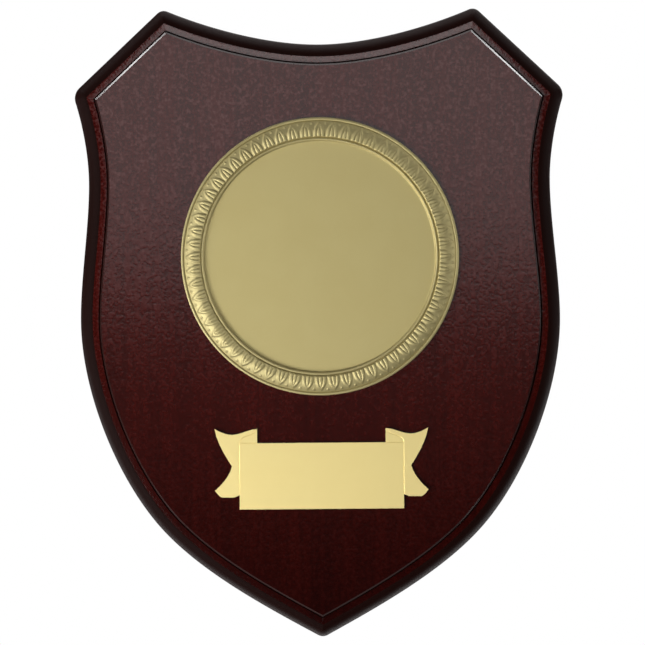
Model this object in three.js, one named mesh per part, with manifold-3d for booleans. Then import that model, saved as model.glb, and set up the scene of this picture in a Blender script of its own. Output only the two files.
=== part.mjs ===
// A wooden heraldic shield plaque for a wall: a shield-shaped board with a moulded edge, a round
// pressed metal centre with a border of leaves, and a plain scroll-shaped plate below it.
// Millimetres, +Z up. The front looks towards -Y, and the origin is on the flat back of the board,
// in the middle of its height.
import * as THREE from "three";
import { mergeVertices } from "three/addons/utils/BufferGeometryUtils.js";
import Module from "manifold-3d";

// The board's outline, measured to the points where its edges would meet if they weren't rounded
const BOARD_HEIGHT = 200.8;
const HORN_SPREAD = 99.4;
const TOP_DIP = 11.55;
const TOP_RISE_ANGLE = 23.4;
const SHOULDER_SPREAD = 156.6;
const SHOULDER_DROP = 26.8;
const SHOULDER_ANGLE = 19;
const WAIST_WIDTH = 146.8;
const BELLY_WIDTH = 152.8;
const CHEEK_WIDTH = 106;
const CHEEK_ANGLE = 39.2;
const TIP_ANGLE = 61.3;
// How far down the side, from shoulder to tip, the waist, the belly and the cheek come
const WAIST_SHARE = 0.162;
const BELLY_SHARE = 0.415;
const CHEEK_SHARE = 0.785;
// Length of a curve's handles, as a share of the distance between its ends
const HANDLE_SHARE = 0.31;

const HORN_RADIUS = 3;
const SHOULDER_RADIUS = 4.6;
const TIP_RADIUS = 3.2;

// The board's section: a quarter round down from a small square step at the edge of the field
const BOARD_THICKNESS = 15;
const EDGE_WIDTH = 7;
const STEP_HEIGHT = 1.3;
const ROUND_DROP = 5.6;
const ARRIS = 0.45;
const SHARPEST_RADIUS = 0.25;

// The keyhole slot in the back, for the head of a wall screw
const KEYHOLE_BELOW_TOP = 32;
const KEYHOLE_HEAD = 10;
const KEYHOLE_NECK = 5;
const KEYHOLE_RUN = 11;
const KEYHOLE_LIP = 3;
const KEYHOLE_DEPTH = 8;

// The film of glue that holds each metal piece on the board
const GLUE_LINE = 0.3;

// The centre disc. Heights are measured from the face of the board
const DISC_DIAMETER = 88;
const DISC_BELOW_TOP = 67.4;
const SHEET = 0.6;
const LIP_WIDTH = 1.05;
const LIP_HEIGHT = 1.15;
const LIP_FALL = 0.35;
const BORDER_WIDTH = 4.9;
const BORDER_HEIGHT = 2.45;
const BORDER_FOOT = 0.95;
const BORDER_CREST = 0.35;
const FILLET_WIDTH = 0.95;
const FILLET_HEIGHT = 2.2;
const FILLET_FALL = 0.3;
const FIELD_SLOPE = 0.8;

// The border of leaves: each leaf is a pointed arch with a tongue in it, and a bead lies between
// the points of each two. Widths are shares of a leaf's place, and lengths shares of its length
const LEAF_COUNT = 60;
const LEAF_MARGIN = 0.2;
const LEAF_RELIEF = 0.38;
const TONGUE_RELIEF = 0.3;
const BEAD_RELIEF = 0.25;
const ARCH_SHARE = 0.46;
const ARCH_POINTING = 2.2;
const ARCH_TIP = 0.06;
const TONGUE_SHARE = 0.19;
const TONGUE_LENGTH = 0.62;
const BEAD_PLACE = 0.86;
const BEAD_LENGTH = 0.15;
const SPLIT_LENGTH = 0.33;

// The scroll plate: a panel with a folded ribbon end on each side that spreads into a notched tail.
// Heights are from the panel's middle, and angles lean in from upright
const PLATE_THICKNESS = 0.6;
const PLATE_BELOW_DISC = 25.5;
const PANEL_WIDTH = 52.1;
const PANEL_HEIGHT = 21;
const FOLD_WIDTH = 5.7;
const FOLD_RISE = 4.5;
const TAIL_REACH = 7.8;
const TAIL_DIP = 1.8;
const DIP_WIDTH = 5.6;
const TAIL_TIP_RISE = 0.15;
const TAIL_TIP_ANGLE = 55;
const NOTCH_DEPTH = 5.45;
const NOTCH_HEIGHT = 3.2;
const ABOVE_NOTCH_ANGLES = [8, 33];
const BELOW_NOTCH_ANGLES = [-12, -50];
const TAIL_LIFT = 3.85;
const FOOT_WIDTH = 2.45;
const FOOT_RISE = 2.15;
const FOOT_ANGLE = 40;
const HEEL_WIDTH = 1.7;
const HEEL_RISE = 0.65;

// Smoothness
const TOP_STEPS = 8;
const SIDE_STEPS = 24;
const CORNER_STEPS = 3;
const ROUND_STEPS = 4;
const DISC_SIDES = 120;
const CURVE_STEPS = 5;

const wasm = await Module();
wasm.setup();

const degrees = THREE.MathUtils.degToRad;
const { lerp } = THREE.MathUtils;

// A point dx to the right of another and dz above it
function beside(point, dx, dz) {
  return new THREE.Vector2(point.x + dx, point.y + dz);
}

// A smooth curve from one point to another, leaving and arriving in the given directions
function sweep(from, leaving, to, arriving) {
  const handle = HANDLE_SHARE * from.distanceTo(to);
  const first = from.clone().addScaledVector(leaving, handle);
  const second = to.clone().addScaledVector(arriving, -handle);
  return new THREE.CubicBezierCurve(from, first, second, to);
}

// The direction down the side, leaning in by an angle
function downwards(angle) {
  return new THREE.Vector2(-Math.sin(degrees(angle)), -Math.cos(degrees(angle)));
}

// The right half of the outline: the hollow top, the straight diagonal and the long side
const horn = new THREE.Vector2(HORN_SPREAD / 2, BOARD_HEIGHT / 2);
const topMiddle = new THREE.Vector2(0, horn.y - TOP_DIP);
const shoulder = new THREE.Vector2(SHOULDER_SPREAD / 2, horn.y - SHOULDER_DROP);
const tip = new THREE.Vector2(0, -BOARD_HEIGHT / 2);

function topEdge() {
  const level = new THREE.Vector2(1, 0);
  const rising = new THREE.Vector2(1, 0).rotateAround(new THREE.Vector2(), degrees(TOP_RISE_ANGLE));
  return sweep(topMiddle, level, horn, rising);
}

function sideEdge() {
  const at = (width, share) => new THREE.Vector2(width / 2, lerp(shoulder.y, tip.y, share));
  const stations = [
    { point: shoulder, way: downwards(SHOULDER_ANGLE) },
    { point: at(WAIST_WIDTH, WAIST_SHARE), way: downwards(0) },
    { point: at(BELLY_WIDTH, BELLY_SHARE), way: downwards(0) },
    { point: at(CHEEK_WIDTH, CHEEK_SHARE), way: downwards(CHEEK_ANGLE) },
    { point: tip, way: downwards(TIP_ANGLE) },
  ];
  const edge = new THREE.CurvePath();
  for (let i = 1; i < stations.length; i++) {
    const [a, b] = [stations[i - 1], stations[i]];
    edge.add(sweep(a.point, a.way, b.point, b.way));
  }
  return edge;
}

const top = topEdge();
const side = sideEdge();
const diagonalWay = shoulder.clone().sub(horn).normalize();
const diagonalInward = new THREE.Vector2(diagonalWay.y, -diagonalWay.x);

// The direction into the board from a curve that runs clockwise, and a point that far in from it
function inward(curve, t) {
  const way = curve.getTangent(t);
  return new THREE.Vector2(way.y, -way.x);
}

function inset(curve, t, distance) {
  return curve.getPoint(t).addScaledVector(inward(curve, t), distance);
}

// Where a function of 0 to 1 crosses zero
function crossing(f) {
  let [low, high] = [0, 1];
  const lowSign = Math.sign(f(low));
  for (let i = 0; i < 50; i++) {
    const middle = (low + high) / 2;
    if (Math.sign(f(middle)) === lowSign) low = middle;
    else high = middle;
  }
  return (low + high) / 2;
}

// How far a point is past the diagonal edge, once that edge is moved in by a distance
function pastDiagonal(point, distance) {
  return point.clone().sub(horn).dot(diagonalInward) - distance;
}

// Points of an arc about a centre, from one outward direction to another
function arc(centre, radius, from, to) {
  const start = Math.atan2(from.y, from.x);
  const turn = Math.atan2(from.cross(to), from.dot(to));
  const points = [];
  for (let i = 0; i <= CORNER_STEPS; i++) {
    const angle = start + (turn * i) / CORNER_STEPS;
    points.push(beside(centre, radius * Math.cos(angle), radius * Math.sin(angle)));
  }
  return points;
}

// The whole outline moved in by a distance, clockwise as seen from the front. Every outline has
// the same number of points, and a corner's rounding shrinks as the outline moves in
function outline(distance) {
  const rounding = (radius) => Math.max(radius - distance, SHARPEST_RADIUS);
  const hornRadius = rounding(HORN_RADIUS);
  const shoulderRadius = rounding(SHOULDER_RADIUS);
  const tipRadius = rounding(TIP_RADIUS);

  const hornDepth = distance + hornRadius;
  const shoulderDepth = distance + shoulderRadius;
  const tipDepth = distance + tipRadius;
  const topEnd = crossing((t) => pastDiagonal(inset(top, t, hornDepth), hornDepth));
  const sideStart = crossing((t) => pastDiagonal(inset(side, t, shoulderDepth), shoulderDepth));
  const sideEnd = crossing((t) => inset(side, t, tipDepth).x);

  const diagonalOutward = diagonalInward.clone().negate();
  const outward = (curve, t) => inward(curve, t).negate();
  const half = [];
  for (let i = 0; i < TOP_STEPS; i++) half.push(inset(top, (topEnd * i) / TOP_STEPS, distance));
  half.push(...arc(inset(top, topEnd, hornDepth), hornRadius, outward(top, topEnd), diagonalOutward));
  const shoulderCentre = inset(side, sideStart, shoulderDepth);
  half.push(...arc(shoulderCentre, shoulderRadius, diagonalOutward, outward(side, sideStart)));
  for (let i = 1; i < SIDE_STEPS; i++) {
    half.push(inset(side, lerp(sideStart, sideEnd, i / SIDE_STEPS), distance));
  }
  const tipCentre = inset(side, sideEnd, tipDepth);
  half.push(...arc(tipCentre, tipRadius, outward(side, sideEnd), new THREE.Vector2(0, -1)));

  half[0].x = 0;
  half[half.length - 1].x = 0;
  const other = half.slice(1, -1).reverse();
  return [...half, ...other.map((p) => new THREE.Vector2(-p.x, p.y))];
}

// A closed skin over rings of points that each have the same number, with flat caps at both ends.
// Each ring is an outline and how far it lies in front of the back
function skin(rings) {
  const positions = [];
  const count = rings[0].points.length;
  for (const { points, front } of rings) {
    for (const p of points) positions.push(p.x, -front, p.y);
  }
  const faces = [];
  for (let i = 0; i + 1 < rings.length; i++) {
    for (let j = 0; j < count; j++) {
      const [a, b] = [i * count + j, i * count + ((j + 1) % count)];
      const [c, d] = [b + count, a + count];
      faces.push(a, d, b, b, d, c);
    }
  }
  const last = (rings.length - 1) * count;
  for (const [a, b, c] of THREE.ShapeUtils.triangulateShape(rings[0].points, [])) faces.push(a, c, b);
  for (const face of THREE.ShapeUtils.triangulateShape(rings[rings.length - 1].points, [])) {
    faces.push(...face.map((corner) => corner + last));
  }
  return closedGeometry(positions, faces);
}

function closedGeometry(positions, faces) {
  const geometry = new THREE.BufferGeometry();
  geometry.setAttribute("position", new THREE.Float32BufferAttribute(positions, 3));
  geometry.setIndex(faces);
  return geometry;
}

// The board before its back is cut: side wall, quarter round, step and field
function mouldedBoard() {
  const roundTop = BOARD_THICKNESS - STEP_HEIGHT;
  const stepPlace = EDGE_WIDTH - ARRIS;
  const rings = [{ points: outline(0), front: 0 }];
  for (let i = 0; i <= ROUND_STEPS; i++) {
    const turn = (Math.PI / 2) * (i / ROUND_STEPS);
    const front = roundTop - ROUND_DROP * (1 - Math.sin(turn));
    rings.push({ points: outline(stepPlace * (1 - Math.cos(turn))), front });
  }
  rings.push({ points: outline(stepPlace), front: BOARD_THICKNESS - ARRIS });
  rings.push({ points: outline(EDGE_WIDTH), front: BOARD_THICKNESS });
  return skin(rings);
}

// Extrudes a flat shape forwards, from one distance in front of the back to another
function forwards(shape, from, to) {
  const settings = { depth: to - from, bevelEnabled: false, curveSegments: CURVE_STEPS };
  const geometry = new THREE.ExtrudeGeometry(shape, settings);
  geometry.rotateX(Math.PI / 2);
  geometry.translate(0, -from, 0);
  return geometry;
}

// A slot with round ends, as wide as its ends, that runs straight up from a centre
function slotShape(centre, width, run) {
  const radius = width / 2;
  const shape = new THREE.Shape();
  shape.absarc(centre.x, centre.y + run, radius, 0, Math.PI, false);
  shape.absarc(centre.x, centre.y, radius, Math.PI, 2 * Math.PI, false);
  return shape;
}

// The keyhole: a round hole for the screw's head, a narrow neck above it that the shank slides up,
// and a wider channel under the neck's lips for the head
function keyholeCut() {
  const head = beside(topMiddle, 0, -KEYHOLE_BELOW_TOP);
  const above = 1;
  const hole = slotShape(head, KEYHOLE_HEAD, 0);
  const neck = slotShape(head, KEYHOLE_NECK, KEYHOLE_RUN);
  const channel = slotShape(head, KEYHOLE_HEAD, KEYHOLE_RUN);
  return solid(forwards(hole, -above, KEYHOLE_DEPTH))
    .add(solid(forwards(neck, -above, KEYHOLE_DEPTH)))
    .add(solid(forwards(channel, KEYHOLE_LIP, KEYHOLE_DEPTH)));
}

// A closed mesh as a solid for cutting, and a cut solid as a mesh again
function solid(geometry) {
  const bare = geometry.clone();
  bare.deleteAttribute("normal");
  bare.deleteAttribute("uv");
  const merged = mergeVertices(bare, 1e-4);
  const mesh = new wasm.Mesh({
    numProp: 3,
    vertProperties: new Float32Array(merged.attributes.position.array),
    triVerts: new Uint32Array(merged.index.array),
  });
  return new wasm.Manifold(mesh);
}

function meshed(body) {
  const { vertProperties, triVerts } = body.getMesh();
  return closedGeometry(Array.from(vertProperties), Array.from(triVerts));
}

function shieldBoard() {
  return meshed(solid(mouldedBoard()).subtract(keyholeCut()));
}

// Radii of the disc, from its edge in to its flat field
const discRadius = DISC_DIAMETER / 2;
const borderOuter = discRadius - LIP_WIDTH;
const borderInner = borderOuter - BORDER_WIDTH;
const filletInner = borderInner - FILLET_WIDTH;
const fieldRadius = filletInner - FIELD_SLOPE;
const fieldHeight = GLUE_LINE + SHEET;

// Height of the border's rounded ground, which the leaves stand on: low at the lip, and highest
// two thirds of the way in
function borderGround(share) {
  if (share > BORDER_CREST) {
    const out = (share - BORDER_CREST) / (1 - BORDER_CREST);
    return lerp(BORDER_HEIGHT, BORDER_FOOT, out * out);
  }
  const back = 1 - share / BORDER_CREST;
  return lerp(BORDER_HEIGHT, FILLET_HEIGHT - LEAF_RELIEF, back * back);
}

// Half the width of the arch and of the tongue, as shares of a leaf's place, going out along it
function archHalf(share) {
  return Math.max(ARCH_SHARE * (1 - share ** ARCH_POINTING), ARCH_TIP);
}

function tongueHalf(share) {
  const along = Math.min(share / TONGUE_LENGTH, 1);
  return TONGUE_SHARE * Math.sqrt(1 - along * along);
}

// One ring of the leaf border. Each leaf has six points: the gap beside it, the rib of its arch,
// the groove, the tongue, the groove and the rib. The ribs of two leaves start as one at the base
// and part over the split, and at both ends of a leaf the relief dies down by half
function leafRing(share) {
  const ground = borderGround(share);
  const arch = archHalf(share);
  const tongue = tongueHalf(share);
  const groove = (arch + tongue) / 2;
  const beadNear = Math.max(0, 1 - Math.abs(share - BEAD_PLACE) / BEAD_LENGTH);
  const gap = lerp(LEAF_RELIEF, BEAD_RELIEF * beadNear, Math.min(share / SPLIT_LENGTH, 1));
  const tongueRise = share < TONGUE_LENGTH ? TONGUE_RELIEF : 0;
  const dying = share <= 0 || share >= 1 ? 0.5 : 1;
  const leaf = [
    { place: -0.5, rise: gap },
    { place: -arch, rise: LEAF_RELIEF },
    { place: -groove, rise: 0 },
    { place: 0, rise: share >= 1 ? LEAF_RELIEF : tongueRise },
    { place: groove, rise: 0 },
    { place: arch, rise: LEAF_RELIEF },
  ];
  const points = [];
  for (let i = 0; i < LEAF_COUNT; i++) {
    for (const { place, rise } of leaf) {
      points.push({ turn: (i + place) / LEAF_COUNT, rise: ground + rise * dying });
    }
  }
  return { radius: lerp(borderInner + LEAF_MARGIN, borderOuter - LEAF_MARGIN, share), points };
}

function plainRing(radius, height) {
  const points = [];
  for (let i = 0; i < DISC_SIDES; i++) {
    points.push({ turn: (i - DISC_SIDES / LEAF_COUNT / 2) / DISC_SIDES, rise: height });
  }
  return { radius, points };
}

// The pressed disc, as rings from the middle of its front out to its edge and back underneath,
// where the sheet follows its front without the leaves
function discRings() {
  const leafRings = [0, 0.22, 0.45, 0.66, BEAD_PLACE, 1].map(leafRing);
  const under = (share) => {
    const height = Math.max(borderGround(share) - SHEET, GLUE_LINE);
    return plainRing(lerp(borderInner, borderOuter, share), height);
  };
  return [
    plainRing(fieldRadius, fieldHeight),
    plainRing(filletInner, FILLET_HEIGHT - FILLET_FALL),
    plainRing((filletInner + borderInner) / 2, FILLET_HEIGHT),
    plainRing(borderInner, FILLET_HEIGHT - FILLET_FALL),
    ...leafRings,
    plainRing(borderOuter, BORDER_FOOT),
    plainRing((borderOuter + discRadius) / 2, LIP_HEIGHT),
    plainRing(discRadius, LIP_HEIGHT - LIP_FALL),
    plainRing(discRadius, GLUE_LINE),
    plainRing(discRadius - SHEET, GLUE_LINE),
    under(0.8),
    under(BORDER_CREST),
    plainRing(filletInner, FILLET_HEIGHT - FILLET_FALL - SHEET),
    plainRing(fieldRadius - SHEET, GLUE_LINE),
  ];
}

// Joins two rings, which may have different numbers of points, by always stepping on along the
// one that lags
function band(inner, outer, faces) {
  const [n, m] = [inner.points.length, outer.points.length];
  let [i, j] = [0, 0];
  while (i < n || j < m) {
    const [a, b] = [inner.first + (i % n), outer.first + (j % m)];
    if (j >= m || (i < n && (i + 1) / n <= (j + 1) / m)) {
      faces.push(a, inner.first + ((i + 1) % n), b);
      i++;
    } else {
      faces.push(a, outer.first + ((j + 1) % m), b);
      j++;
    }
  }
}

function centreDisc() {
  const rings = discRings();
  const positions = [];
  const faces = [];
  for (const ring of rings) {
    ring.first = positions.length / 3;
    for (const { turn, rise } of ring.points) {
      const angle = 2 * Math.PI * turn;
      positions.push(ring.radius * Math.sin(angle), -rise, ring.radius * Math.cos(angle));
    }
  }
  for (let i = 1; i < rings.length; i++) band(rings[i - 1], rings[i], faces);

  const middle = positions.length / 3;
  positions.push(0, -fieldHeight, 0, 0, -GLUE_LINE, 0);
  const [front, back] = [rings[0], rings[rings.length - 1]];
  for (let i = 0; i < DISC_SIDES; i++) {
    const next = (i + 1) % DISC_SIDES;
    faces.push(middle, front.first + next, front.first + i);
    faces.push(middle + 1, back.first + i, back.first + next);
  }
  return closedGeometry(positions, faces);
}

// The scroll plate's outline: the panel, and on each side a ribbon end that folds back behind it
// and spreads into a notched tail
function scrollShape() {
  const panelTop = PANEL_HEIGHT / 2;
  const panelSide = PANEL_WIDTH / 2;
  const tailSide = panelSide + TAIL_REACH;
  const foldInner = panelSide - FOLD_WIDTH;
  const foldTop = panelTop + FOLD_RISE;
  const tailBottom = TAIL_LIFT - panelTop;

  const panelCorner = new THREE.Vector2(foldInner, panelTop);
  const foldCorner = new THREE.Vector2(foldInner, foldTop);
  const dip = new THREE.Vector2(tailSide - DIP_WIDTH, foldTop - TAIL_DIP);
  const tailTip = new THREE.Vector2(tailSide, foldTop + TAIL_TIP_RISE);
  const notch = new THREE.Vector2(tailSide - NOTCH_DEPTH, NOTCH_HEIGHT);
  const footTip = new THREE.Vector2(tailSide, tailBottom + FOOT_RISE);
  const footEnd = new THREE.Vector2(tailSide - FOOT_WIDTH, tailBottom);
  const heelStart = new THREE.Vector2(panelSide + HEEL_WIDTH, tailBottom);
  const heel = new THREE.Vector2(panelSide, tailBottom + HEEL_RISE);
  const panelFoot = new THREE.Vector2(panelSide, -panelTop);

  const level = new THREE.Vector2(1, 0);
  const [tipLeaves, notchArrives] = ABOVE_NOTCH_ANGLES.map(downwards);
  const [notchLeaves, footArrives] = BELOW_NOTCH_ANGLES.map(downwards);
  const curves = [
    sweep(foldCorner, level, dip, level),
    sweep(dip, level, tailTip, downwards(TAIL_TIP_ANGLE).negate()),
    sweep(tailTip, tipLeaves, notch, notchArrives),
    sweep(notch, notchLeaves, footTip, footArrives),
    sweep(footTip, downwards(FOOT_ANGLE), footEnd, level.clone().negate()),
  ];
  const half = [panelCorner, foldCorner];
  for (const curve of curves) half.push(...curve.getPoints(CURVE_STEPS).slice(1));
  half.push(heelStart, heel, panelFoot);
  const left = half.map((p) => new THREE.Vector2(-p.x, p.y)).reverse();
  return new THREE.Shape([...half, ...left]);
}

function scrollPlate() {
  return forwards(scrollShape(), GLUE_LINE, GLUE_LINE + PLATE_THICKNESS);
}

// The finishes
const mahogany = new THREE.MeshStandardMaterial({ color: 0x3a1512, roughness: 0.35, metalness: 0 });
const gilt = new THREE.MeshStandardMaterial({ color: 0xc9b878, roughness: 0.3, metalness: 1 });
const brightGilt = new THREE.MeshStandardMaterial({ color: 0xe6d28c, roughness: 0.4, metalness: 1 });

function part(name, geometry, material) {
  const mesh = new THREE.Mesh(geometry, material);
  mesh.name = name;
  return mesh;
}

// The plaque: the metal pieces lie on the board's face, one below the other
const plaque = new THREE.Group();
const face = new THREE.Group();
const discHeight = topMiddle.y - DISC_BELOW_TOP;
const disc = part("centre_disc", centreDisc(), gilt);
const plate = part("scroll_plate", scrollPlate(), brightGilt);
face.position.y = -BOARD_THICKNESS;
disc.position.z = discHeight;
plate.position.z = discHeight - discRadius - PLATE_BELOW_DISC;
face.add(disc, plate);
plaque.add(part("shield_board", shieldBoard(), mahogany), face);

export default plaque;
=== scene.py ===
import math
import bmesh
import bpy
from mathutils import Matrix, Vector


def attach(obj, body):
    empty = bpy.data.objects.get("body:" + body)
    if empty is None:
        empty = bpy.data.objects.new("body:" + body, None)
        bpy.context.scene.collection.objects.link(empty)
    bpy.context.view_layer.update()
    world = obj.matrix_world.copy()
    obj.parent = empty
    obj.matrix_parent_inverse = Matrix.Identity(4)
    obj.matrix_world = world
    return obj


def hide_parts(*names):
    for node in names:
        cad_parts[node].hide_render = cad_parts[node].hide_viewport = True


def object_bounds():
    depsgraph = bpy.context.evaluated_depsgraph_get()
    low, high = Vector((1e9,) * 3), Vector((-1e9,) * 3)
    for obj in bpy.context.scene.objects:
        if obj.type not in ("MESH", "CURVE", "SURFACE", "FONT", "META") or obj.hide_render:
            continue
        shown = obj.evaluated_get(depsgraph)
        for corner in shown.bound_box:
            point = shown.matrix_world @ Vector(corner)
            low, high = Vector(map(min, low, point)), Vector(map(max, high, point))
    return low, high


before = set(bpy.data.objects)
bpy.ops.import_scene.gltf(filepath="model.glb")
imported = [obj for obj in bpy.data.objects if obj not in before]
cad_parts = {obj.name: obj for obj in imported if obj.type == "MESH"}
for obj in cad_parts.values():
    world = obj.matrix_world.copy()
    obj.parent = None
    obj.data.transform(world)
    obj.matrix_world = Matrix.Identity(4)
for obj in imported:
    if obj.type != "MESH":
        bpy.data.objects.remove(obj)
cad_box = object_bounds()


# The camera stands in front of the hanging plaque and a little above its middle, with a long lens,
# and is rolled by half a degree, as the photograph is.
MM = 0.001
CAMERA_DISTANCE = 1.0
CAMERA_ELEVATION = math.radians(1.5)
CAMERA_ROLL = math.radians(0.45)
FRAME_WIDTH = 207.4 * MM
AIM = Vector((0.84 * MM, 0, 0.14 * MM))
FARTHEST_SEEN = 20

camera_data = bpy.data.cameras.new("camera")
camera_data.lens = camera_data.sensor_width * CAMERA_DISTANCE / FRAME_WIDTH
camera_data.clip_end = FARTHEST_SEEN
camera = bpy.data.objects.new("camera", camera_data)
towards_camera = Vector((0, -math.cos(CAMERA_ELEVATION), math.sin(CAMERA_ELEVATION)))
camera.location = AIM + CAMERA_DISTANCE * towards_camera
camera.rotation_euler = (math.pi / 2 - CAMERA_ELEVATION, CAMERA_ROLL, 0)
bpy.context.scene.collection.objects.link(camera)
bpy.context.scene.camera = camera
bpy.context.scene.view_settings.view_transform = "Standard"


# The studio is a white room with soft light. Softboxes in a column behind the camera give the face
# its even shine, larger ones light it from the left and the right, and strips and softboxes above,
# below and behind the plaque pick out its moulded edge.
ROOM_GLOW = 0.02


def softbox(name, place, width, height, power):
    """A soft rectangular light that faces the plaque."""
    data = bpy.data.lights.new(name, "AREA")
    data.shape = "RECTANGLE"
    data.size = width
    data.size_y = height
    data.energy = power
    light = bpy.data.objects.new(name, data)
    light.location = place
    light.rotation_euler = (-Vector(place)).to_track_quat("-Z", "Y").to_euler()
    light.visible_camera = False
    bpy.context.scene.collection.objects.link(light)


softbox("front_softbox", (0, -1.08, 0.17), 0.5, 0.21, 0.385)
softbox("front_softbox_high", (0, -1.08, 0.34), 0.46, 0.13, 0.5)
softbox("front_softbox_low", (0, -1.08, 0.035), 0.5, 0.06, 0.11)
softbox("front_softbox_lowest", (0, -1.08, -0.07), 0.5, 0.15, 0.014)
softbox("left_softbox", (-1.0, -0.5, -0.2), 0.8, 1.0, 8)
softbox("low_left_softbox", (-0.45, -0.59, -0.345), 0.44, 0.36, 4.9)
softbox("low_softbox", (0, -0.8, -0.6), 0.5, 0.3, 0.3)
softbox("right_softbox", (1.0, -0.45, 0), 0.5, 0.5, 2.0)
softbox("right_strip", (1.0, -0.1, 0.1), 0.1, 0.4, 1.2)
softbox("upper_left_strip", (-0.71, -0.02, 0.77), 0.2, 0.08, 2.2)
softbox("upper_right_strip", (0.71, -0.02, 0.77), 0.2, 0.08, 2.3)
softbox("top_strip", (0, -0.05, 0.8), 0.5, 0.2, 0.6)
softbox("top_back_softbox", (0, 0.2, 0.7), 1.0, 0.3, 5)
softbox("low_back_softbox", (0, 0.45, -0.65), 1.0, 0.25, 6)
softbox("low_right_back_softbox", (0.6, 0.4, -0.4), 0.5, 0.5, 4)
softbox("low_left_back_softbox", (-0.6, 0.4, -0.4), 0.5, 0.5, 3)
softbox("back_softbox", (0.3, 1.2, 0.5), 1.0, 1.0, 8)

room = bpy.data.worlds.new("white_room")
room.use_nodes = True
nodes = room.node_tree.nodes
ambient = nodes["Background"]
ambient.inputs["Color"].default_value = (1, 1, 1, 1)
ambient.inputs["Strength"].default_value = ROOM_GLOW
seen = nodes.new("ShaderNodeBackground")
seen.inputs["Color"].default_value = (1, 1, 1, 1)
seen.inputs["Strength"].default_value = 1
rays = nodes.new("ShaderNodeLightPath")
chosen = nodes.new("ShaderNodeMixShader")
room.node_tree.links.new(rays.outputs["Is Camera Ray"], chosen.inputs["Fac"])
room.node_tree.links.new(ambient.outputs["Background"], chosen.inputs[1])
room.node_tree.links.new(seen.outputs["Background"], chosen.inputs[2])
room.node_tree.links.new(chosen.outputs["Shader"], nodes["World Output"].inputs["Surface"])
bpy.context.scene.world = room


# The floor is a plain pale sheet, well below the plaque, which hangs. The camera sees it almost
# white, and it throws next to no light on the lower edge.
FLOOR_DROP = 1000 * MM
FLOOR_SIZE = 3.2
FLOOR_GREY = (0.6, 0.6, 0.6)
FLOOR_AS_SEEN = (0.84, 0.84, 0.83)
FLOOR_ROUGHNESS = 0.7


def deselect_all():
    bpy.ops.object.select_all(action="DESELECT")


def select_only(piece):
    deselect_all()
    piece.select_set(True)
    bpy.context.view_layer.objects.active = piece


def new_material(name):
    material = bpy.data.materials.new(name)
    material.use_nodes = True
    return material, material.node_tree, material.node_tree.nodes["Principled BSDF"]


deselect_all()
floor_place = (0, -FLOOR_SIZE / 4, cad_box[0][2] - FLOOR_DROP)
bpy.ops.mesh.primitive_plane_add(size=FLOOR_SIZE, location=floor_place)
floor = bpy.context.object
floor.name = "floor"
pale_paint, tree, shader = new_material("pale_paint")
shader.inputs["Base Color"].default_value = (*FLOOR_GREY, 1)
shader.inputs["Roughness"].default_value = FLOOR_ROUGHNESS
shader.inputs["Emission Color"].default_value = (*FLOOR_AS_SEEN, 1)
rays = tree.nodes.new("ShaderNodeLightPath")
tree.links.new(rays.outputs["Is Camera Ray"], shader.inputs["Emission Strength"])
floor.data.materials.append(pale_paint)


# The board is one piece of hardwood, sawn to the shield's outline. A router cuts its edge: a
# quarter round from the side wall up to a tilted ledge, a narrow groove, and a small square step
# whose upper edge is eased.
BOARD_HEIGHT = 200.8 * MM
HORN_SPREAD = 99.4 * MM
TOP_DIP = 11.55 * MM
TOP_RISE_ANGLE = 23.4
SHOULDER_SPREAD = 156.6 * MM
SHOULDER_DROP = 26.8 * MM
SHOULDER_ANGLE = 19
WAIST_WIDTH = 146.8 * MM
BELLY_WIDTH = 152.8 * MM
CHEEK_WIDTH = 106 * MM
CHEEK_ANGLE = 39.2
TIP_ANGLE = 61.3
WAIST_SHARE = 0.162
BELLY_SHARE = 0.415
CHEEK_SHARE = 0.785
HANDLE_SHARE = 0.31
HORN_RADIUS = 3 * MM
SHOULDER_RADIUS = 4.6 * MM
TIP_RADIUS = 3.2 * MM
SHARPEST_RADIUS = 0.12 * MM
BOARD_THICKNESS = 15 * MM
EDGE_WIDTH = 7 * MM
STEP_HEIGHT = 1.3 * MM
ROUND_DROP = 5.6 * MM
ARRIS = 0.5 * MM
QUIRK_WIDTH = 0.5 * MM
QUIRK_DEPTH = 0.35 * MM
LEDGE_WIDTH = 1.6 * MM
LEDGE_TILT = 3.4
BACK_ARRIS = 0.3 * MM
TOP_STEPS = 40
SIDE_STEPS = 120
CORNER_STEPS = 8
ROUND_STEPS = 12
HALVINGS = 50
BOARD_SMOOTHING = math.radians(35)


def sweep(start, leaving, end, arriving):
    """A smooth curve from one point to another, as its four control points."""
    handle = HANDLE_SHARE * (end - start).length
    return start, start + leaving * handle, end - arriving * handle, end


def downwards(angle):
    """The direction down the side, leaning in by an angle."""
    return Vector((-math.sin(math.radians(angle)), -math.cos(math.radians(angle))))


def rising(angle):
    """The direction along the top, rising by an angle."""
    return Vector((math.cos(math.radians(angle)), math.sin(math.radians(angle))))


horn = Vector((HORN_SPREAD / 2, BOARD_HEIGHT / 2))
top_middle = Vector((0, horn.y - TOP_DIP))
shoulder = Vector((SHOULDER_SPREAD / 2, horn.y - SHOULDER_DROP))
tip = Vector((0, -BOARD_HEIGHT / 2))


def side_station(width, share):
    """A place on the side where the board has a width, at a share of the way to the tip."""
    return Vector((width / 2, shoulder.y + (tip.y - shoulder.y) * share))


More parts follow.
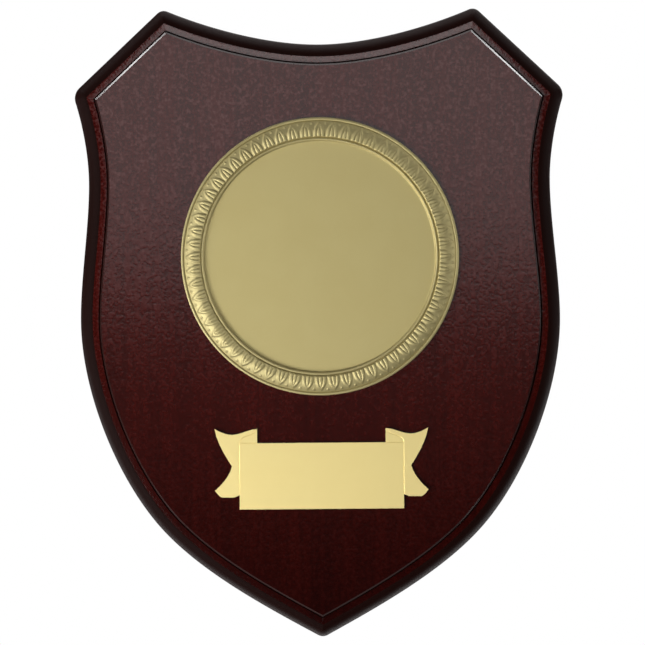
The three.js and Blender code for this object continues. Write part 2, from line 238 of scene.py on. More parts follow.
stations = [
    (shoulder, downwards(SHOULDER_ANGLE)),
    (side_station(WAIST_WIDTH, WAIST_SHARE), downwards(0)),
    (side_station(BELLY_WIDTH, BELLY_SHARE), downwards(0)),
    (side_station(CHEEK_WIDTH, CHEEK_SHARE), downwards(CHEEK_ANGLE)),
    (tip, downwards(TIP_ANGLE)),
]
top_edge = [sweep(top_middle, rising(0), horn, rising(TOP_RISE_ANGLE))]
side_edge = []
for (start, leaving), (end, arriving) in zip(stations, stations[1:]):
    side_edge.append(sweep(start, leaving, end, arriving))
diagonal_way = (shoulder - horn).normalized()
diagonal_inward = Vector((diagonal_way.y, -diagonal_way.x))


def at(edge, t):
    """The curve of an edge that a place lies on, and how far along that curve it is."""
    number = min(int(t), len(edge) - 1)
    return edge[number], t - number


def point_on(edge, t):
    """The point of an edge's curves at t, which counts whole curves."""
    (a, b, c, d), t = at(edge, t)
    s = 1 - t
    return s**3 * a + 3 * s * s * t * b + 3 * s * t * t * c + t**3 * d


def inward(edge, t):
    """The direction into the board from an edge that runs clockwise."""
    (a, b, c, d), t = at(edge, t)
    s = 1 - t
    way = (s * s * (b - a) + 2 * s * t * (c - b) + t * t * (d - c)).normalized()
    return Vector((way.y, -way.x))


def inset(edge, t, distance):
    """A point of an edge, moved into the board."""
    return point_on(edge, t) + inward(edge, t) * distance


def crossing(function, low, high):
    """Where a function changes its sign."""
    low_sign = function(low) > 0
    for _ in range(HALVINGS):
        middle = (low + high) / 2
        if (function(middle) > 0) == low_sign:
            low = middle
        else:
            high = middle
    return (low + high) / 2


def past_diagonal(point, distance):
    """How far a point is inside the diagonal that is moved in by a distance."""
    return (point - horn).dot(diagonal_inward) - distance


def arc(centre, radius, start, end):
    """Points of an arc about a centre, from one outward direction to another."""
    first = math.atan2(start.y, start.x)
    turn = math.atan2(start.x * end.y - start.y * end.x, start.dot(end))
    angles = [first + turn * i / CORNER_STEPS for i in range(CORNER_STEPS + 1)]
    return [centre + radius * Vector((math.cos(angle), math.sin(angle))) for angle in angles]


def template(distance):
    """The outline moved in by a distance, with its corners rounded less the further in it is."""
    horn_radius = max(HORN_RADIUS - distance, SHARPEST_RADIUS)
    shoulder_radius = max(SHOULDER_RADIUS - distance, SHARPEST_RADIUS)
    tip_radius = max(TIP_RADIUS - distance, SHARPEST_RADIUS)
    horn_depth = distance + horn_radius
    shoulder_depth = distance + shoulder_radius
    tip_depth = distance + tip_radius
    side_length = len(side_edge)
    top_end = crossing(lambda t: past_diagonal(inset(top_edge, t, horn_depth), horn_depth), 0, 1)
    side_start = crossing(
        lambda t: past_diagonal(inset(side_edge, t, shoulder_depth), shoulder_depth), 0, 1
    )
    side_end = crossing(lambda t: inset(side_edge, t, tip_depth).x, side_length - 1, side_length)

    half = [inset(top_edge, top_end * i / TOP_STEPS, distance) for i in range(TOP_STEPS)]
    horn_centre = inset(top_edge, top_end, horn_depth)
    half += arc(horn_centre, horn_radius, -inward(top_edge, top_end), -diagonal_inward)
    shoulder_centre = inset(side_edge, side_start, shoulder_depth)
    half += arc(shoulder_centre, shoulder_radius, -diagonal_inward, -inward(side_edge, side_start))
    for i in range(1, SIDE_STEPS):
        along_side = side_start + (side_end - side_start) * i / SIDE_STEPS
        half.append(inset(side_edge, along_side, distance))
    tip_centre = inset(side_edge, side_end, tip_depth)
    half += arc(tip_centre, tip_radius, -inward(side_edge, side_end), Vector((0, -1)))

    half[0].x = 0
    half[-1].x = 0
    return half + [Vector((-p.x, p.y)) for p in reversed(half[1:-1])]


def selected_ring(mesh):
    """The corners of the one selected face, in the order of the template."""
    face = next(f for f in mesh.faces if f.select)
    corners = [loop.vert for loop in face.loops]
    first = min(range(len(corners)), key=lambda i: (abs(corners[i].co.x), -corners[i].co.z))
    corners = corners[first:] + corners[:first]
    if corners[1].co.x < corners[-1].co.x:
        corners = corners[:1] + corners[:0:-1]
    return corners


def lay_on_template(piece, distance, front):
    """Moves the selected face's ring onto the template, at a distance in front of the back."""
    mesh = bmesh.from_edit_mesh(piece.data)
    for corner, point in zip(selected_ring(mesh), template(distance)):
        corner.co = (point.x, -front, point.y)
    bmesh.update_edit_mesh(piece.data)


def ledge_fall():
    """How much lower the tilted ledge is at its outer side than at the step."""
    return LEDGE_WIDTH * math.tan(math.radians(LEDGE_TILT))


def router_section():
    """How far in and how far forward each pass comes, from the back up to the face."""
    passes = [(0, BACK_ARRIS)]
    ledge_top = BOARD_THICKNESS - STEP_HEIGHT
    step_place = EDGE_WIDTH - ARRIS
    ledge_place = step_place - QUIRK_WIDTH - LEDGE_WIDTH
    round_top = ledge_top - ledge_fall()
    for i in range(ROUND_STEPS + 1):
        turn = (math.pi / 2 - math.radians(LEDGE_TILT)) * i / ROUND_STEPS
        round_place = ledge_place * (1 - math.cos(turn))
        passes.append((round_place, round_top - ROUND_DROP * (1 - math.sin(turn))))
    passes.append((ledge_place + LEDGE_WIDTH, ledge_top))
    passes.append((step_place, ledge_top - QUIRK_DEPTH))
    passes.append((step_place, BOARD_THICKNESS - ARRIS))
    passes.append((EDGE_WIDTH, BOARD_THICKNESS))
    return passes


deselect_all()
first_ring = template(BACK_ARRIS)
bpy.ops.mesh.primitive_circle_add(vertices=len(first_ring), radius=HORN_SPREAD, fill_type="NGON")
board = bpy.context.object
board.name = "moulded_board"
for corner, point in zip(board.data.vertices, first_ring):
    corner.co = (point.x, 0, point.y)
bpy.ops.object.mode_set(mode="EDIT")
bpy.ops.mesh.select_all(action="SELECT")
for distance, front in router_section():
    bpy.ops.mesh.extrude_region_move()
    lay_on_template(board, distance, front)
bpy.ops.mesh.select_all(action="SELECT")
bpy.ops.mesh.normals_make_consistent(inside=False)
bpy.ops.object.mode_set(mode="OBJECT")

# The keyhole in the back is routed with a keyhole bit, so that a screw's head goes in at the round
# hole and its shank slides up the narrow neck.
KEYHOLE_BELOW_TOP = 32 * MM
KEYHOLE_HEAD = 10 * MM
KEYHOLE_NECK = 5 * MM
KEYHOLE_RUN = 11 * MM
KEYHOLE_LIP = 3 * MM
KEYHOLE_DEPTH = 8 * MM
ABOVE_BACK = 1 * MM
CUTTER_SIDES = 64
keyhole_height = top_middle.y - KEYHOLE_BELOW_TOP


def routed_slot(piece, width, run, near, far):
    """Cuts a slot with round ends into the back, between two depths."""
    deselect_all()
    middle = (0, -(near + far) / 2, keyhole_height)
    bpy.ops.mesh.primitive_cylinder_add(
        vertices=CUTTER_SIDES, radius=width / 2, depth=far - near,
        location=middle, rotation=(math.pi / 2, 0, 0),
    )
    cutter = bpy.context.object
    bpy.ops.object.transform_apply()
    for corner in cutter.data.vertices:
        if corner.co.z > keyhole_height:
            corner.co.z += run
    select_only(piece)
    cut = piece.modifiers.new("slot", "BOOLEAN")
    cut.operation = "DIFFERENCE"
    cut.solver = "EXACT"
    cut.object = cutter
    bpy.ops.object.modifier_apply(modifier=cut.name)
    bpy.data.objects.remove(cutter)


routed_slot(board, KEYHOLE_HEAD, 0, -ABOVE_BACK, KEYHOLE_DEPTH)
routed_slot(board, KEYHOLE_NECK, KEYHOLE_RUN, -ABOVE_BACK, KEYHOLE_DEPTH)
routed_slot(board, KEYHOLE_HEAD, KEYHOLE_RUN, KEYHOLE_LIP, KEYHOLE_DEPTH)
select_only(board)
bpy.ops.object.shade_smooth_by_angle(angle=BOARD_SMOOTHING)
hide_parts("shield_board")
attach(board, "root")


# The grain of the board runs up and down: broad soft bands of darker and redder wood with finer
# streaks, and short pores. It shows through the stain on the face and the back, and in bare wood.
NOISE_LOW = 0.3
NOISE_HIGH = 0.7
BAND_LENGTHENING = (1, 1, 0.05)
BAND_SCALE = 130
BAND_SHARE = 0.55
STREAK_LENGTHENING = (1, 1, 0.03)
STREAK_SCALE = 620
STREAK_LOW = 0.35
STREAK_HIGH = 0.65
PORE_LENGTHENING = (1, 1, 0.06)
PORE_SCALE = 1500
PORE_LOW = 0.62
PORE_HIGH = 0.72


def shader_group(name, inputs, outputs):
    """An empty shader node group with float inputs, given with their values, and outputs."""
    group = bpy.data.node_groups.new(name, "ShaderNodeTree")
    for label, value in inputs.items():
        socket = group.interface.new_socket(
            name=label, in_out="INPUT", socket_type="NodeSocketFloat"
        )
        socket.default_value = value
    for label in outputs:
        group.interface.new_socket(name=label, in_out="OUTPUT", socket_type="NodeSocketFloat")
    return group, group.nodes.new("NodeGroupInput"), group.nodes.new("NodeGroupOutput")


def placed(tree, group, settings):
    """A node group in one material, with that material's own values."""
    node = tree.nodes.new("ShaderNodeGroup")
    node.node_tree = group
    for label, value in settings.items():
        node.inputs[label].default_value = value
    return node


def feed(tree, value, socket):
    """Gives a socket a fixed value, or what another socket puts out."""
    if isinstance(value, bpy.types.NodeSocket):
        tree.links.new(value, socket)
    else:
        socket.default_value = value


def noise(tree, stretch, scale, detail):
    """Noise on object coordinates, stretched along each axis."""
    position = tree.nodes.new("ShaderNodeTexCoord")
    mapping = tree.nodes.new("ShaderNodeMapping")
    mapping.inputs["Scale"].default_value = stretch
    texture = tree.nodes.new("ShaderNodeTexNoise")
    feed(tree, scale, texture.inputs["Scale"])
    texture.inputs["Detail"].default_value = detail
    tree.links.new(position.outputs["Object"], mapping.inputs["Vector"])
    tree.links.new(mapping.outputs["Vector"], texture.inputs["Vector"])
    return texture.outputs["Fac"]


def ranged(tree, value, low, high, to_low, to_high):
    """A value spread from one range over another, and held at its ends."""
    node = tree.nodes.new("ShaderNodeMapRange")
    node.inputs["From Min"].default_value = low
    node.inputs["From Max"].default_value = high
    node.inputs["To Min"].default_value = to_low
    node.inputs["To Max"].default_value = to_high
    tree.links.new(value, node.inputs["Value"])
    return node.outputs["Result"]


def combined(tree, operation, a, b):
    """A socket's value put together with a number or with another socket's value."""
    node = tree.nodes.new("ShaderNodeMath")
    node.operation = operation
    tree.links.new(a, node.inputs[0])
    feed(tree, b, node.inputs[1])
    return node.outputs["Value"]


def blended(tree, factor, first, second):
    """A colour between two, which are colours or sockets."""
    node = tree.nodes.new("ShaderNodeMix")
    node.data_type = "RGBA"
    tree.links.new(factor, node.inputs["Factor"])
    for socket, colour in ((node.inputs[6], first), (node.inputs[7], second)):
        feed(tree, (*colour, 1) if isinstance(colour, tuple) else colour, socket)
    return node.outputs[2]


def roughened(tree, shader, height, distance):
    """Raises the surface by a height between 0 and 1, at most by a distance."""
    bump = tree.nodes.new("ShaderNodeBump")
    bump.inputs["Distance"].default_value = distance
    tree.links.new(height, bump.inputs["Height"])
    tree.links.new(bump.outputs["Normal"], shader.inputs["Normal"])


grain_group, grain_in, grain_out = shader_group(
    "upright_grain", {"Pore Strength": 1}, ["Bands", "Pores"]
)
bands = noise(grain_group, BAND_LENGTHENING, BAND_SCALE, detail=3)
streaks = noise(grain_group, STREAK_LENGTHENING, STREAK_SCALE, detail=2)
banded = combined(
    grain_group, "ADD", ranged(grain_group, bands, NOISE_LOW, NOISE_HIGH, 0, BAND_SHARE),
    ranged(grain_group, streaks, STREAK_LOW, STREAK_HIGH, 0, 1 - BAND_SHARE),
)
grain_group.links.new(banded, grain_out.inputs["Bands"])
pore_noise = noise(grain_group, PORE_LENGTHENING, PORE_SCALE, detail=1)
pores = combined(
    grain_group, "MULTIPLY", ranged(grain_group, pore_noise, PORE_LOW, PORE_HIGH, 0, 1),
    grain_in.outputs["Pore Strength"],
)
grain_group.links.new(pores, grain_out.inputs["Pores"])

# A sprayed finish dries with a fine uneven skin, like orange peel, on the face and on the edge.
UNSTRETCHED = (1, 1, 1)
PEEL_SCALE = 1100
PEEL_HEIGHT = 0.03 * MM
peel_group, peel_in, peel_out = shader_group("orange_peel", {"Scale": PEEL_SCALE}, ["Mottle"])
skin = noise(peel_group, UNSTRETCHED, peel_in.outputs["Scale"], detail=2)
peel_group.links.new(skin, peel_out.inputs["Mottle"])

# The face is stained mahogany red and lacquered to a gloss. Painted shade darkens its colour
# towards the tip, and a painted sheen, a faint greyish mottle, lightens it near the top. The
# moulded edge has a matt toner, nearly black.
STAIN_DARK = (0.030, 0.0013, 0.0005)
STAIN_RED = (0.053, 0.0024, 0.0010)
# Painted sheen: a greyish pink put into the face's colour, full at the top and fading out
# downwards.
PAINTED_TOP_SHEEN = (0.066, 0.021, 0.020)
SHEEN_FOOT = -25 * MM
SHEEN_HEAD = 60 * MM
SHEEN_AT_FOOT = 0.1
SHEEN_MOTTLE_LOW = 0.48
SHEEN_MOTTLE_HIGH = 0.72
# Painted shade: the face's colour is scaled down steadily from the upper height to the tip.
PAINTED_SHADE_AT_TIP = 0.32
PAINTED_SHADE_FULL_HEIGHT = -95 * MM
PAINTED_SHADE_END_HEIGHT = 10 * MM
STAIN_SWING = 0.25
LACQUERED_PORES = 0.6
PORE_DIMPLE = 0.133
LACQUER_ROUGHNESS = 0.13
LACQUER_IOR = 1.5
lacquer, tree, shader = new_material("mahogany_lacquer")
grain = placed(tree, grain_group, {"Pore Strength": LACQUERED_PORES})
mottle = placed(tree, peel_group, {"Scale": PEEL_SCALE}).outputs["Mottle"]
position = tree.nodes.new("ShaderNodeTexCoord")
axes = tree.nodes.new("ShaderNodeSeparateXYZ")
tree.links.new(position.outputs["Object"], axes.inputs["Vector"])
height = axes.outputs["Z"]
stain = blended(tree, grain.outputs["Bands"], STAIN_DARK, STAIN_RED)
# Painted sheen: a mottled greyish colour, stronger the higher it is on the face, stands in for the
# lamps' shine on the lacquer.
painted_sheen = combined(
    tree, "MULTIPLY", ranged(tree, mottle, SHEEN_MOTTLE_LOW, SHEEN_MOTTLE_HIGH, 0, 1),
    ranged(tree, height, SHEEN_FOOT, SHEEN_HEAD, SHEEN_AT_FOOT, 1),
)
sheened_stain = blended(tree, painted_sheen, stain, PAINTED_TOP_SHEEN)
pored = blended(tree, grain.outputs["Pores"], sheened_stain, STAIN_DARK)
# The stain's random swing, times painted shade that darkens the face's colour towards the tip.
depth = combined(
    tree, "MULTIPLY",
    ranged(tree, mottle, NOISE_LOW, NOISE_HIGH, 1 - STAIN_SWING, 1 + STAIN_SWING),
    ranged(tree, height, PAINTED_SHADE_FULL_HEIGHT, PAINTED_SHADE_END_HEIGHT, PAINTED_SHADE_AT_TIP, 1),
)
shaded_face_colour = tree.nodes.new("ShaderNodeVectorMath")
shaded_face_colour.operation = "SCALE"
tree.links.new(pored, shaded_face_colour.inputs["Vector"])
tree.links.new(depth, shaded_face_colour.inputs["Scale"])
tree.links.new(shaded_face_colour.outputs["Vector"], shader.inputs["Base Color"])
dimples = combined(tree, "MULTIPLY", grain.outputs["Pores"], PORE_DIMPLE)
roughened(tree, shader, combined(tree, "SUBTRACT", mottle, dimples), PEEL_HEIGHT)
shader.inputs["Roughness"].default_value = LACQUER_ROUGHNESS
shader.inputs["IOR"].default_value = LACQUER_IOR
board.data.materials.append(lacquer)

TONER_COLOUR = (0.0075, 0.0012, 0.0006)
TONER_ROUGHNESS = 0.6
TONER_SHINE = 0.05
toner, tree, shader = new_material("edge_toner")
shader.inputs["Base Color"].default_value = (*TONER_COLOUR, 1)
shader.inputs["Roughness"].default_value = TONER_ROUGHNESS
shader.inputs["Specular IOR Level"].default_value = TONER_SHINE
mottle = placed(tree, peel_group, {"Scale": PEEL_SCALE}).outputs["Mottle"]
roughened(tree, shader, mottle, PEEL_HEIGHT)
board.data.materials.append(toner)

# The arris round the face is rubbed a little, so that the stain is thinner there.
RUBBED_COLOUR = (0.020, 0.006, 0.005)
RUBBED_ROUGHNESS = 0.2
RUBBED_SHINE = 0.3
rubbed, tree, shader = new_material("rubbed_arris")
shader.inputs["Base Color"].default_value = (*RUBBED_COLOUR, 1)
shader.inputs["Roughness"].default_value = RUBBED_ROUGHNESS
shader.inputs["Specular IOR Level"].default_value = RUBBED_SHINE
board.data.materials.append(rubbed)

# The back is stained too, in one thin coat that leaves the grain to be seen, and isn't lacquered.
BACK_DARK = (0.034, 0.009, 0.005)
BACK_RED = (0.075, 0.020, 0.011)
BACK_ROUGHNESS = 0.55
BACK_GRAIN_HEIGHT = 0.06 * MM
back_stain, tree, shader = new_material("back_stain")
grain = placed(tree, grain_group, {"Pore Strength": 1})
thin_coat = blended(tree, grain.outputs["Bands"], BACK_DARK, BACK_RED)
pored_coat = blended(tree, grain.outputs["Pores"], thin_coat, BACK_DARK)
tree.links.new(pored_coat, shader.inputs["Base Color"])
shader.inputs["Roughness"].default_value = BACK_ROUGHNESS
roughened(tree, shader, grain.outputs["Bands"], BACK_GRAIN_HEIGHT)
board.data.materials.append(back_stain)

# Inside the keyhole the wood is bare, as the router left it after the lacquer was dry.
BARE_PALE = (0.33, 0.19, 0.11)
BARE_DARK = (0.21, 0.11, 0.06)
BARE_ROUGHNESS = 0.75
BARE_GRAIN_HEIGHT = 0.1 * MM
bare_wood, tree, shader = new_material("bare_wood")
grain = placed(tree, grain_group, {"Pore Strength": 1})
bare_colour = blended(tree, grain.outputs["Bands"], BARE_PALE, BARE_DARK)
tree.links.new(bare_colour, shader.inputs["Base Color"])
shader.inputs["Roughness"].default_value = BARE_ROUGHNESS
roughened(tree, shader, grain.outputs["Bands"], BARE_GRAIN_HEIGHT)
board.data.materials.append(bare_wood)

# Each of the board's faces gets the finish of its place: the edge up to the ledge, the arris, the
# back, and the keyhole. The ledge and the flat face keep the lacquer.
SLOPING_FROM = 0.5
SLOPING_TO = 0.9
TOUCH = 0.01 * MM
ledge_foot = BOARD_THICKNESS - STEP_HEIGHT - ledge_fall()


def in_keyhole(place):
    """Whether a place on the board is on a wall or on the floor of the keyhole."""
    beside_axis = abs(place.x) < KEYHOLE_HEAD / 2 + TOUCH
    up = place.z - keyhole_height
    along = -KEYHOLE_HEAD < up < KEYHOLE_RUN + KEYHOLE_HEAD
    return beside_axis and along and -KEYHOLE_DEPTH - TOUCH < place.y < -TOUCH


def finish_of(face):
    """The material of one face of the board."""
    sloping = SLOPING_FROM < abs(face.normal.y) < SLOPING_TO
    if in_keyhole(face.center):
        return bare_wood
    if face.normal.y > SLOPING_TO:
        return back_stain
    if face.center.y > -ledge_foot:
        return toner
    if sloping and face.center.y < -(BOARD_THICKNESS - ARRIS):
        return rubbed
    return lacquer


for face in board.data.polygons:
    face.material_index = board.data.materials.find(finish_of(face).name)


# The disc is one pressing of thin brass, gilt. From its edge in it has a round lip, a domed border
# of leaves, a thin fillet and a flat satin field. The board's sizes above give its height.
GLUE_LINE = 0.3 * MM
DISC_RADIUS = 44 * MM
DISC_BELOW_TOP = 67.4 * MM
SHEET = 0.6 * MM
LIP_WIDTH = 1.05 * MM
LIP_HEIGHT = 1.15 * MM
LIP_FALL = 0.35 * MM
BORDER_WIDTH = 5.15 * MM
BORDER_HEIGHT = 2.45 * MM
BORDER_FOOT = 0.95 * MM
BORDER_START = 2.34 * MM
BORDER_CREST = 0.35
GROOVE_WIDTH = 0.25 * MM
GROOVE_DROP = 0.05 * MM
FILLET_WIDTH = 0.85 * MM
FILLET_HEIGHT = 2.2 * MM
FILLET_FALL = 0.25 * MM
FIELD_SLOPE = 0.25 * MM
LEAF_COUNT = 60
LEAF_COLUMNS = 24
LEAF_MARGIN = 0.2 * MM
LEAF_RELIEF = 0.33 * MM
LEAF_SHARE = 0.465
LEAF_POINTING = 2.6
LEAF_SIDE = 0.42 * MM
TONGUE_SHARE = 0.16
TONGUE_LENGTH = 0.68
TONGUE_CROWN = 0.06 * MM
VEIN_HALF = 0.28 * MM
VEIN_DEPTH = 0.6
BEAD_PLACE = 0.87
BEAD_RADIUS = 0.5 * MM
BEAD_RELIEF = 0.25 * MM
CROWN_SPREAD = 1.3
LEAF_PROBE = 0.01
LEAF_START = -0.05
LEAF_START_RUN = 0.07
LIP_STEPS = 8
BORDER_STEPS = 35
FILLET_STEPS = 6
LIP_GROOVE = 0.2 * MM
GROOVE_BOTTOM = 0.4
SLOPE_RINGS = ((0.35, 0.22), (0.7, 0.72), (0.88, 0.93), (1, 1))
BACK_RINGS = (0.8, 0.6, BORDER_CREST, 0.15)
DISC_SMOOTHING = math.radians(60)
disc_height = top_middle.y - DISC_BELOW_TOP
border_outer = DISC_RADIUS - LIP_WIDTH
border_inner = border_outer - BORDER_WIDTH
fillet_outer = border_inner - GROOVE_WIDTH
fillet_inner = fillet_outer - FILLET_WIDTH
field_radius = fillet_inner - FIELD_SLOPE
field_height = GLUE_LINE + SHEET


def between(a, b, share):
    """A number at a share of the way from one to another."""
    return a + (b - a) * share


def border_ground(share):
    """Height of the dome that the leaves stand on, going out from the fillet to the lip."""
    if share > BORDER_CREST:
        out = (share - BORDER_CREST) / (1 - BORDER_CREST)
        return between(BORDER_HEIGHT, BORDER_FOOT, out * out)
    back = 1 - share / BORDER_CREST
    return between(BORDER_HEIGHT, BORDER_START, back * back)


def bead_profile(inner, outer, inner_height, crest, outer_height, steps):
    """A round bead in section, from its outer side in."""
    rings = []
    for i in range(1, steps):
        turn = math.pi * i / steps
        radius = between(inner, outer, (1 + math.cos(turn)) / 2)
        low = outer_height if i < steps / 2 else inner_height
        rings.append((radius, between(low, crest, math.sin(turn))))
    return rings


def front_section():
    """Radius and height of each ring of the pressing, from its edge in to the field."""
    edge_height = LIP_HEIGHT - LIP_FALL
    rings = [(DISC_RADIUS, edge_height)]
    lip_inside = BORDER_FOOT - LIP_GROOVE
    rings += bead_profile(
        border_outer, DISC_RADIUS, lip_inside, LIP_HEIGHT, edge_height, LIP_STEPS
    )
    for i in range(BORDER_STEPS + 1):
        share = 1 - i / BORDER_STEPS
        rings.append((between(border_inner, border_outer, share), border_ground(share)))
    low = FILLET_HEIGHT - FILLET_FALL
    groove = low - GROOVE_DROP
    rings.append((between(border_inner, fillet_outer, GROOVE_BOTTOM), groove))
    rings.append((fillet_outer, low))
    rings += bead_profile(fillet_inner, fillet_outer, low, FILLET_HEIGHT, low, FILLET_STEPS)
    rings.append((fillet_inner, low))
    for share, fall in SLOPE_RINGS:
        ring_height = between(low, field_height, fall)
        rings.append((between(fillet_inner, field_radius, share), ring_height))
    rings.append((field_radius - SHEET, field_height))
    return rings


def back_section():
    """The rings of the hollow underside, from the edge in to the back of the field."""
    rings = [(DISC_RADIUS - SHEET, GLUE_LINE)]
    for share in BACK_RINGS:
        height = max(border_ground(share) - SHEET, GLUE_LINE)
        rings.append((between(border_inner, border_outer, share), height))
    rings.append((fillet_inner, FILLET_HEIGHT - FILLET_FALL - SHEET))
    rings.append((field_radius - SHEET, GLUE_LINE))
    return rings


def press_rings(rings, radius, height):
    """Extrudes the selected round face to each radius and height in turn."""
    centre = (0, -BOARD_THICKNESS, disc_height)
    for next_radius, next_height in rings:
        move = {"value": (0, height - next_height, 0)}
        bpy.ops.mesh.extrude_region_move(TRANSFORM_OT_translate=move)
        shrink = next_radius / radius
        bpy.ops.transform.resize(value=(shrink, 1, shrink), center_override=centre)
        radius, height = next_radius, next_height


def smooth(value):
    """An S-shaped rise from 0 to 1."""
    value = min(max(value, 0), 1)
    return value * value * (3 - 2 * value)


def leaf_half(share):
    """Half the width of a leaf, as a share of the pitch: nearly parallel, then drawn to a point."""
    return LEAF_SHARE * (1 - min(max(share, 0), 1) ** LEAF_POINTING)


def leaf_relief(share, place, radius):
    """Height above the dome at a share of the leaf's length and a place across it, -0.5 to 0.5."""
    pitch = 2 * math.pi * radius / LEAF_COUNT
    length = BORDER_WIDTH - 2 * LEAF_MARGIN
    across = abs(place) * pitch
    narrowing = leaf_half(share - LEAF_PROBE) - leaf_half(share + LEAF_PROBE)
    lean = narrowing / (2 * LEAF_PROBE) * pitch / length
    inside = (leaf_half(share) * pitch - across) / math.hypot(1, lean)
    relief = LEAF_RELIEF * smooth(inside / LEAF_SIDE)
    if share < TONGUE_LENGTH:
        tongue_half = TONGUE_SHARE * pitch * math.sqrt(1 - (max(share, 0) / TONGUE_LENGTH) ** 2)
        vein_off = abs(across - tongue_half)
        relief += TONGUE_CROWN * smooth(CROWN_SPREAD * (1 - across / tongue_half))
    else:
        vein_off = math.hypot(across, (share - TONGUE_LENGTH) * length)
    relief *= 1 - VEIN_DEPTH * smooth(1 - vein_off / VEIN_HALF)
    bead_off = math.hypot((0.5 - abs(place)) * pitch, (share - BEAD_PLACE) * length)
    relief = max(relief, BEAD_RELIEF * smooth(CROWN_SPREAD * (1 - bead_off / BEAD_RADIUS)))
    return relief * smooth((share - LEAF_START) / LEAF_START_RUN)


deselect_all()
bpy.ops.mesh.primitive_circle_add(
    vertices=LEAF_COUNT * LEAF_COLUMNS, radius=DISC_RADIUS, fill_type="NGON",
    location=(0, -BOARD_THICKNESS - GLUE_LINE, disc_height), rotation=(math.pi / 2, 0, 0),
)
disc = bpy.context.object
disc.name = "pressed_disc"
bpy.ops.object.transform_apply()
bpy.ops.object.mode_set(mode="EDIT")
bpy.ops.mesh.select_all(action="SELECT")
press_rings(front_section(), DISC_RADIUS, GLUE_LINE)
mesh = bmesh.from_edit_mesh(disc.data)
bpy.ops.mesh.select_all(action="DESELECT")
bpy.context.tool_settings.mesh_select_mode = (False, False, True)
round_faces = [face for face in mesh.faces if len(face.verts) > 4]
back_face = max(round_faces, key=lambda face: face.calc_center_median().y)
back_face.select_set(True)
bmesh.update_edit_mesh(disc.data)
press_rings(back_section(), DISC_RADIUS, GLUE_LINE)
bpy.ops.mesh.select_all(action="SELECT")
bpy.ops.mesh.normals_make_consistent(inside=False)
bpy.ops.object.mode_set(mode="OBJECT")

leaf_inner = border_inner + LEAF_MARGIN
leaf_outer = border_outer - LEAF_MARGIN
for corner in disc.data.vertices:
    x, z = corner.co.x, corner.co.z - disc_height
    radius = math.hypot(x, z)
    share = (radius - leaf_inner) / (leaf_outer - leaf_inner)
    ground = border_ground((radius - border_inner) / BORDER_WIDTH)
    on_front = -corner.co.y - BOARD_THICKNESS > ground - SHEET / 2
    if border_inner < radius < border_outer and on_front:
        turns = math.atan2(x, z) / (2 * math.pi) * LEAF_COUNT
        corner.co.y -= leaf_relief(share, turns - round(turns), radius)
select_only(disc)
bpy.ops.object.shade_smooth_by_angle(angle=DISC_SMOOTHING)
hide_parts("centre_disc")
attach(disc, "root")


# The gilding has a soft cloud of a darker shade, and a fine grit that dulls the shine. The border
# and the field differ in their colour, their shine and the size of their grit.
CLOUD_SCALE = 70
ROUGHNESS_SPREAD = 0.03
BORDER_GILT = (0.485, 0.42, 0.212)
BORDER_GILT_SHADE = (0.455, 0.39, 0.193)
BORDER_ROUGHNESS = 0.59
BORDER_GRIT_SCALE = 2500
BORDER_GRIT_HEIGHT = 0.003 * MM
FIELD_GILT = (0.605, 0.515, 0.237)
FIELD_GILT_SHADE = (0.59, 0.498, 0.226)
FIELD_ROUGHNESS = 0.5
FIELD_GRIT_SCALE = 3000
FIELD_GRIT_HEIGHT = 0.004 * MM
FLAT = 0.99

gilding_group, gilding_in, gilding_out = shader_group(
    "gilding", {"Grit Scale": BORDER_GRIT_SCALE, "Roughness": BORDER_ROUGHNESS},
    ["Cloud", "Grit", "Roughness"],
)
cloud_noise = noise(gilding_group, UNSTRETCHED, CLOUD_SCALE, detail=3)
grit = noise(gilding_group, UNSTRETCHED, gilding_in.outputs["Grit Scale"], detail=2)
cloud = ranged(gilding_group, cloud_noise, NOISE_LOW, NOISE_HIGH, 0, 1)
cloud_dulling = ranged(gilding_group, cloud_noise, NOISE_LOW, NOISE_HIGH, 0, ROUGHNESS_SPREAD)
grit_dulling = ranged(gilding_group, grit, NOISE_LOW, NOISE_HIGH, 0, ROUGHNESS_SPREAD)
dulling = combined(gilding_group, "ADD", cloud_dulling, grit_dulling)
dulled = combined(gilding_group, "ADD", dulling, gilding_in.outputs["Roughness"])
gilding_group.links.new(cloud, gilding_out.inputs["Cloud"])
gilding_group.links.new(grit, gilding_out.inputs["Grit"])
gilding_group.links.new(dulled, gilding_out.inputs["Roughness"])


def gilt(name, colour, shade, metallic, roughness, grit_scale, grit_height):
    """A gilding of one colour, clouded with its darker shade."""
    material, tree, shader = new_material(name)
    gilding = placed(tree, gilding_group, {"Grit Scale": grit_scale, "Roughness": roughness})
    clouded = blended(tree, gilding.outputs["Cloud"], colour, shade)
    tree.links.new(clouded, shader.inputs["Base Color"])
    tree.links.new(gilding.outputs["Roughness"], shader.inputs["Roughness"])
    shader.inputs["Metallic"].default_value = metallic
    roughened(tree, shader, gilding.outputs["Grit"], grit_height)
    return material


disc.data.materials.append(gilt(
    "bright_gilt", BORDER_GILT, BORDER_GILT_SHADE, 1,
    BORDER_ROUGHNESS, BORDER_GRIT_SCALE, BORDER_GRIT_HEIGHT,
))
disc.data.materials.append(gilt(
    "satin_gilt", FIELD_GILT, FIELD_GILT_SHADE, 1,
    FIELD_ROUGHNESS, FIELD_GRIT_SCALE, FIELD_GRIT_HEIGHT,
))
satin = disc.data.materials.find("satin_gilt")
for face in disc.data.polygons:
    flat = abs(face.normal.y) > FLAT
    inside = math.hypot(face.center.x, face.center.z - disc_height) < field_radius
    if flat and inside:
        face.material_index = satin


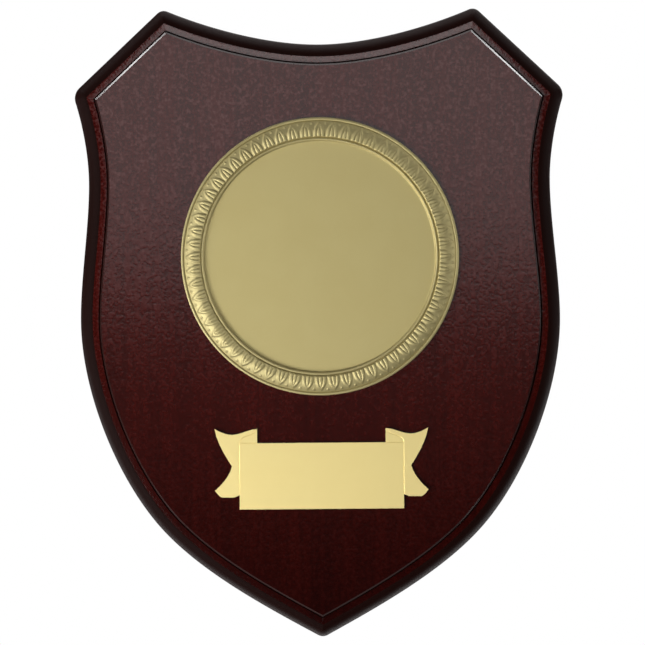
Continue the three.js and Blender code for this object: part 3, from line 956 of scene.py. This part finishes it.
# The scroll is die-cut from thin brass sheet with a pale matt gilding, and stuck on. Fine lines
# are engraved where the ribbon folds behind the panel. It starts from the CAD plate itself.
LINE_HALF = 0.16 * MM
LINE_LIFT = 0.3
LINE_SIDES = 2
PLATE_THICKNESS = 0.6 * MM
PANEL_HALF = 26.05 * MM
PANEL_TOP = 10.5 * MM
FOLD_WIDTH = 5.7 * MM
PLATE_BELOW_DISC = 25.5 * MM
FOLD_LINE_FOOT = -6 * MM
CORNER_GAP = 0.3 * MM
FOLD_GAP = 0.2 * MM
CURL_BACK = (0, 0.25, 1.0, 2.3, 4.2, 5.1)
CURL_RISE = (0, 1.0, 1.7, 2.3, 2.9, 3.7)
MERGE_DISTANCE = 0.001 * MM
SAME_PLANE = math.radians(1)
SCROLL_GILT = (0.955, 0.79, 0.345)
SCROLL_GILT_SHADE = (0.93, 0.765, 0.33)
SCROLL_METALLIC = 0.85
SCROLL_ROUGHNESS = 0.46
SCROLL_GRIT_SCALE = 2500
SCROLL_GRIT_HEIGHT = 0.006 * MM
plate_height = disc_height - DISC_RADIUS - PLATE_BELOW_DISC
plate_front = BOARD_THICKNESS + GLUE_LINE + PLATE_THICKNESS

deselect_all()
cad_plate = bpy.data.objects["scroll_plate"]
plate = bpy.data.objects.new("engraved_scroll", cad_plate.data.copy())
bpy.context.scene.collection.objects.link(plate)
plate.data.materials.clear()
select_only(plate)
bpy.ops.object.mode_set(mode="EDIT")
bpy.ops.mesh.select_all(action="SELECT")
bpy.ops.mesh.remove_doubles(threshold=MERGE_DISTANCE)
bpy.ops.mesh.dissolve_limited(angle_limit=SAME_PLANE)
bpy.ops.object.mode_set(mode="OBJECT")


def engraved(name, points):
    """A thin round rod along points, a little in front of the plate, to cut a shallow line."""
    line = bpy.data.curves.new(name, "CURVE")
    line.dimensions = "3D"
    line.bevel_depth = LINE_HALF
    line.bevel_resolution = LINE_SIDES
    line.use_fill_caps = True
    spline = line.splines.new("POLY")
    spline.points.add(len(points) - 1)
    for knot, (x, z) in zip(spline.points, points):
        knot.co = (x, -plate_front - LINE_LIFT * LINE_HALF, plate_height + z, 1)
    rod = bpy.data.objects.new(name, line)
    bpy.context.scene.collection.objects.link(rod)
    select_only(rod)
    bpy.ops.object.convert(target="MESH")
    return rod


def fold_lines(side):
    """On one side: down the panel's edge, across the top of the fold, and round its curl."""
    fold_inner = PANEL_HALF - FOLD_WIDTH
    curl = []
    for back, rise in zip(CURL_BACK, CURL_RISE):
        curl.append((PANEL_HALF - back * MM, PANEL_TOP + rise * MM))
    down = [(PANEL_HALF, PANEL_TOP - CORNER_GAP), (PANEL_HALF, FOLD_LINE_FOOT)]
    across = [(PANEL_HALF - CORNER_GAP, PANEL_TOP), (fold_inner + FOLD_GAP, PANEL_TOP)]
    return [[(side * x, z) for x, z in line] for line in (curl, down, across)]


for side in (-1, 1):
    for line in fold_lines(side):
        rod = engraved("engraving", line)
        select_only(plate)
        cut = plate.modifiers.new("engraving", "BOOLEAN")
        cut.operation = "DIFFERENCE"
        cut.solver = "EXACT"
        cut.object = rod
        bpy.ops.object.modifier_apply(modifier=cut.name)
        bpy.data.objects.remove(rod)
select_only(plate)
bpy.ops.object.shade_flat()
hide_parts("scroll_plate")
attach(plate, "root")
plate.data.materials.append(gilt(
    "matt_gilt", SCROLL_GILT, SCROLL_GILT_SHADE, SCROLL_METALLIC,
    SCROLL_ROUGHNESS, SCROLL_GRIT_SCALE, SCROLL_GRIT_HEIGHT,
))
